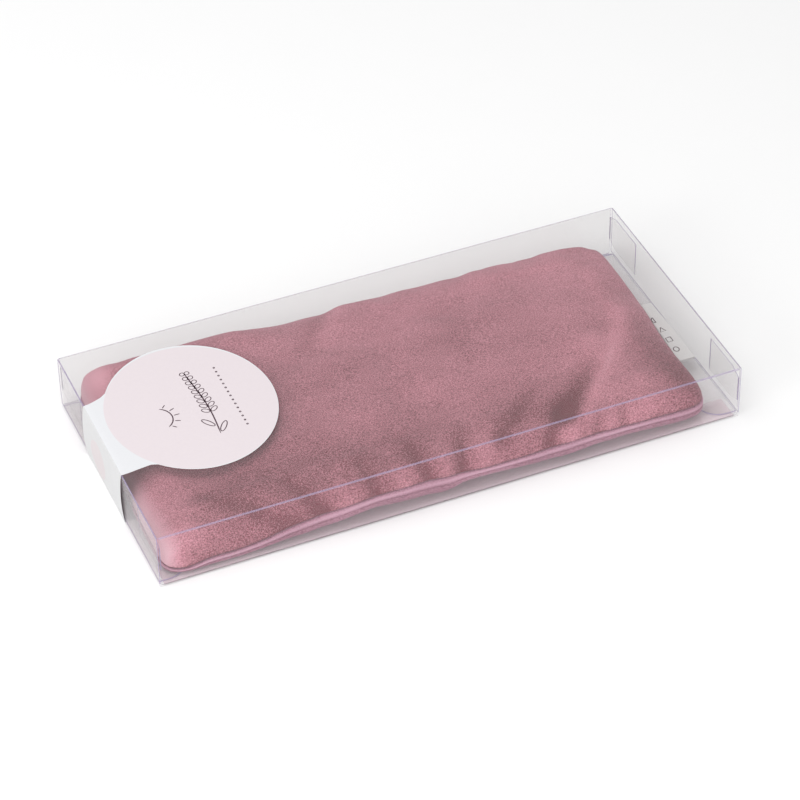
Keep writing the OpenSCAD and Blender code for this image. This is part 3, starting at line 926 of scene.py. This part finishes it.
def build_covers():
    """The two velvet panels, each with its edge rolled in along the seam."""
    for sign, name, material, node in ((1, "cover_top_velvet", VELVET, "cover_top"),
                                       (-1, "cover_bottom_velvet", VELVET_UNDER, "cover_bottom")):
        points, faces, level = panel(sign)
        points, folds = sculpt(points, faces, level, sign, settle)
        x, y, z = points.T
        if sign > 0:
            # painted light and shade on the top: lighter on fold ridges, towards the left end, which faces the light,
            # and towards the back; darker in fold valleys, on the edge rolled into the seam, across the front and at
            # the right front
            painted_light_and_shade = 0.36 * np.clip(folds, -2.4, 1.2)
            painted_light_and_shade += 0.6 * smooth(-106, -118, x) * smooth(19, 9, z) + 0.26 * smooth(-96, -114, x) * smooth(20, -50, y)
            painted_light_and_shade += 0.12 * smooth(10, 85, x) * smooth(-15, 40, y)
            painted_light_and_shade -= 0.26 * smooth(80, 104, x) * smooth(0, -32, y) + 0.9 * smooth(0.35, 0.08, level)
            painted_light_and_shade -= 0.27 * smooth(-12, -44, y) * smooth(-104, -80, x) * smooth(66, 46, x)
            painted_light_and_shade += 0.07 * smooth(5, 35, y) + 0.38 * smooth(-98, -112, x) * smooth(15, 45, y)
        else:
            # painted light and shade on the strip below the seam: a lighter upper band, dark at the groove between the
            # bands and along the seam, darker low down on the underside along the front and back, and a faint stripe
            # along x
            painted_light_and_shade = 0.06 * np.sin(x / 9) + 0.55 * smooth(0.45, 0.2, level) - 1.1 * smooth(0.15, 0.04, level)
            painted_light_and_shade -= 0.45 * np.exp(-((level - 0.44) / 0.08) ** 2) + 0.3 * smooth(0.6, 0.9, level) * (np.abs(y) > 50)
        points = shape_ends(points)
        cover = make_object(name, points, faces, [material])
        # the painted light and shade at each point
        attribute = cover.data.attributes.new("painted_light_and_shade", "FLOAT", "POINT")
        attribute.data.foreach_set("value", painted_light_and_shade.astype(np.float32))
        subdivision = cover.modifiers.new("subdivision", "SUBSURF")
        subdivision.levels = subdivision.render_levels = 1
        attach(cover, "pillow")
        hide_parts(node)


settle = simulate_settling()
build_covers()


def seam_line(count, inset):
    """Evenly spaced points along the side seam, all the way round."""
    ring_x, ring_y = (g.ravel()[border(NX, NY)] for g in plan_grid(NX, NY, GRID_INSET))
    out = outward(ring_x, ring_y)
    move = GRID_INSET - inset
    line = np.stack([ring_x + out[:, 0] * move, ring_y + out[:, 1] * move, seam_height(ring_x, ring_y)], 1)
    line = shape_ends(line)
    line = np.vstack([line, line[:1]])
    run = np.concatenate([[0], np.cumsum(np.linalg.norm(np.diff(line, axis=0), axis=1))])
    at = np.linspace(0, run[-1], count, endpoint=False)
    return np.stack([np.interp(at, run, line[:, k]) for k in range(3)], 1)


def thread_look(name, dark, light):
    """Twisted sewing thread."""
    look = Look(name, light, Roughness=0.6, Sheen_Weight=0.2)
    twist = look.wave(900, "DIAGONAL", 1.5)
    look.set("Base Color", look.mix(twist, dark, light))
    look.bump(twist, 0.6, 0.08)
    return look.material


THREAD = thread_look("thread", (0.14, 0.055, 0.08), (0.28, 0.13, 0.17))
COTTON_THREAD = thread_look("cotton_thread", (0.6, 0.56, 0.5), (0.85, 0.82, 0.76))


def build_threads():
    """The seam's machine stitches, and the hand stitches that close the gap in the back seam."""
    line = seam_line(1320, 1.35)
    machine = []
    for k in range(0, len(line) - 5, 5):
        stitch = line[k:k + 5].copy()
        stitch[[0, -1], 2] += (-0.12, 0.12)
        machine.append(ribbon_tube(stitch, 0.17))
    hand = []
    rise = np.linspace(-1.0, 1.0, 7)
    reach = 2.2 * np.array([0.2, 0.12, 0.0, -0.06, 0.0, 0.12, 0.2])
    for x in range(-10, 54, 4):
        z = float(seam_height(np.array(float(x)), np.array(HALF_P)))
        hand.append(ribbon_tube(np.stack([x + 0.45 * rise, HALF_P - 0.35 - reach, z + rise], 1), 0.19))
    for name, stitches, node in (("seam_stitches", machine, "seam_stitching"),
                                 ("closing_hand_stitches", hand, "closing_stitches")):
        thread = make_object(name, *join(stitches), [THREAD])
        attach(thread, "pillow")
        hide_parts(node)


build_threads()


# ---- Inside the pillow ----

def woven_look(name, dark, light, threads_per_m):
    """Plain weave."""
    look = Look(name, light, Roughness=0.9, Sheen_Weight=0.1)
    warp = look.wave(threads_per_m, "X", 0.4)
    weft = look.wave(threads_per_m, "Y", 0.4)
    weave = look.math("MAXIMUM", warp, weft)
    look.set("Base Color", look.mix(weave, dark, light))
    look.bump(weave, 0.5, 0.1)
    return look.material


COTTON = woven_look("cotton", (0.62, 0.57, 0.49), (0.86, 0.81, 0.73), 320)
seed_look = Look("seeds", (0.2, 0.1, 0.05), Roughness=0.4)
cells = seed_look.node("ShaderNodeTexVoronoi", {"Vector": seed_look.place, "Scale": 420.0})
seed_look.set("Base Color", seed_look.mix(cells.outputs["Distance"], (0.09, 0.04, 0.02), (0.36, 0.2, 0.1)))
seed_look.bump(cells.outputs["Distance"], 0.9, 0.6)
SEEDS = seed_look.material


BAG, SEED_LUMP = (8.5, 1.8), (9.6, 2.4)     # inset from the outline, and gap from the cover


def inner_shell(sign, inset, gap):
    """A grid that follows a cover panel from inside: its rim on the seam, inset from the outline."""
    x, y = plan_grid(CLOTH_NX, CLOTH_NY, inset)
    depth = inset_of(x, y)
    share = np.sqrt(np.clip(1 - (1 - np.clip((depth - inset) / 9.0, 0, 1)) ** 2, 0, 1))
    seam = seam_height(x, y)
    folds = fold_field(x, y)
    dent_below = np.minimum(0.25 * folds + settle(x, y, -1), 0)
    dent_above = np.minimum(folds + settle(x, y, 1), 0)
    low = np.maximum(low_height(x, y, depth) - dent_below, floor_under(x, y)) + gap
    high = top_height(x, y, depth) + dent_above - 0.6 - gap
    middle = np.clip(seam, low + 0.6, high - 0.6)
    z = middle + ((high if sign > 0 else low) - middle) * share
    return shape_ends(np.stack([x, y, z], -1).reshape(-1, 3)).reshape(*x.shape, 3)


def build_inside():
    for sign, name in ((1, "inner_bag_top"), (-1, "inner_bag_bottom")):
        bag = thin_sheet(f"{name}_cloth", inner_shell(sign, *BAG)[:, ::sign], 0.4, [COTTON, COTTON])
        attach(bag, "pillow")
        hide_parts(name)
    upper, lower = inner_shell(1, *SEED_LUMP), inner_shell(-1, *SEED_LUMP)
    lumps = np.sin(upper[..., 0] / 3.1) * np.sin(upper[..., 1] / 2.7) * 0.15
    upper[1:-1, 1:-1, 2] += lumps[1:-1, 1:-1]
    line = inner_shell(1, *BAG).reshape(-1, 3)[border(CLOTH_NX, CLOTH_NY)]
    thread = ribbon_tube(np.vstack([line, line[:1]]), 0.2)
    for name, shape, material, slot, node in (
            ("seed_fill", closed_shell(upper, lower)[:2], SEEDS, "seeds", "seed_filling"),
            ("inner_bag_thread", thread, COTTON_THREAD, "cotton_thread", "inner_bag_stitching")):
        piece = make_object(name, *shape, [material])
        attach(piece, "pillow")
        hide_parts(node)


build_inside()


# ---- Care label ----

satin_look = Look("satin", (0.82, 0.82, 0.81), Roughness=0.35, Sheen_Weight=0.3)
rib = satin_look.wave(700, "Y", 0.3)
satin_look.set("Base Color", satin_look.mix(satin_look.noise(400, 3), (0.68, 0.675, 0.665), (0.76, 0.755, 0.745)))
satin_look.set("Roughness", satin_look.remap(rib, 0, 1, 0.3, 0.48))
satin_look.bump(rib, 0.3, 0.05)
SATIN = satin_look.material
CARE_Y = (-26.5, 11.5)
CARE_Z, CARE_BEND = 8.0, 0.25       # height of the folded label, and radius of its fold


def care_ends(y):
    """X of the folded label's root inside the seam, and of its fold."""
    share = (CARE_Y[1] - y) / (CARE_Y[1] - CARE_Y[0])
    return 111.2 - 2.2 * share, 115.55 + 0.55 * share


def care_point(run, y):
    """A point of the folded label: run goes from the upper ply's root out to the fold and back below."""
    root, outer = care_ends(y)
    length = outer - root
    if run < 1:
        x, z = root + (length - CARE_BEND) * run, 0.22
    elif run < 2:
        turn = pi * (run - 1)
        x, z = outer - CARE_BEND + CARE_BEND * sin(turn), 0.22 * cos(turn)
    else:
        x, z = outer - CARE_BEND - (length - CARE_BEND) * (run - 2), -0.22
    z += CARE_Z + 0.35 * sin((y + 26) / 38 * pi * 1.3) * ((x - root) / length)
    return x, y, z


def build_care_label():
    """The satin tape, folded with its fold outwards, and the symbols printed on it."""
    runs = np.concatenate([np.linspace(0, 1, 9), np.linspace(1, 2, 9)[1:], np.linspace(2, 3, 9)[1:]])
    ys = np.linspace(*CARE_Y, 25)
    grid = np.array([[care_point(r, y) for y in ys] for r in runs])
    tape = thin_sheet("care_label_tape", grid, 0.16, [SATIN, SATIN])
    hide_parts("care_label")
    # generic laundry symbols: a circle, a square, a triangle and a tub
    marks = []
    bowl = arc(0, 0, 1.3, 1.7, 100, 260, 12)
    for y, shape in ((-19.5, arc(0, 0, 1.1, 1.4, 0, 360, 20)), (-13, arc(0, 0, 1.5, 1.9, 45, 405, 5)),
                     (-6.5, arc(0, 0, 1.3, 1.8, 90, 450, 4)), (0.5, np.vstack([bowl, bowl[:1]]))):
        x = sum(care_ends(y)) / 2 - 1.35
        points, faces = stroke(shape + np.array([x, y]), 0.42, 0, taper=False)
        for p in points:
            root, outer = care_ends(p[1])
            run = np.clip((p[0] - root) / (outer - root - CARE_BEND), 0, 0.95)
            p[2] = care_point(run, p[1])[2] + 0.1
        marks.append((points, faces))
    symbols = make_object("care_label_symbols", *join(marks), [INK])
    for piece in (tape, symbols):
        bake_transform(piece)


build_care_label()
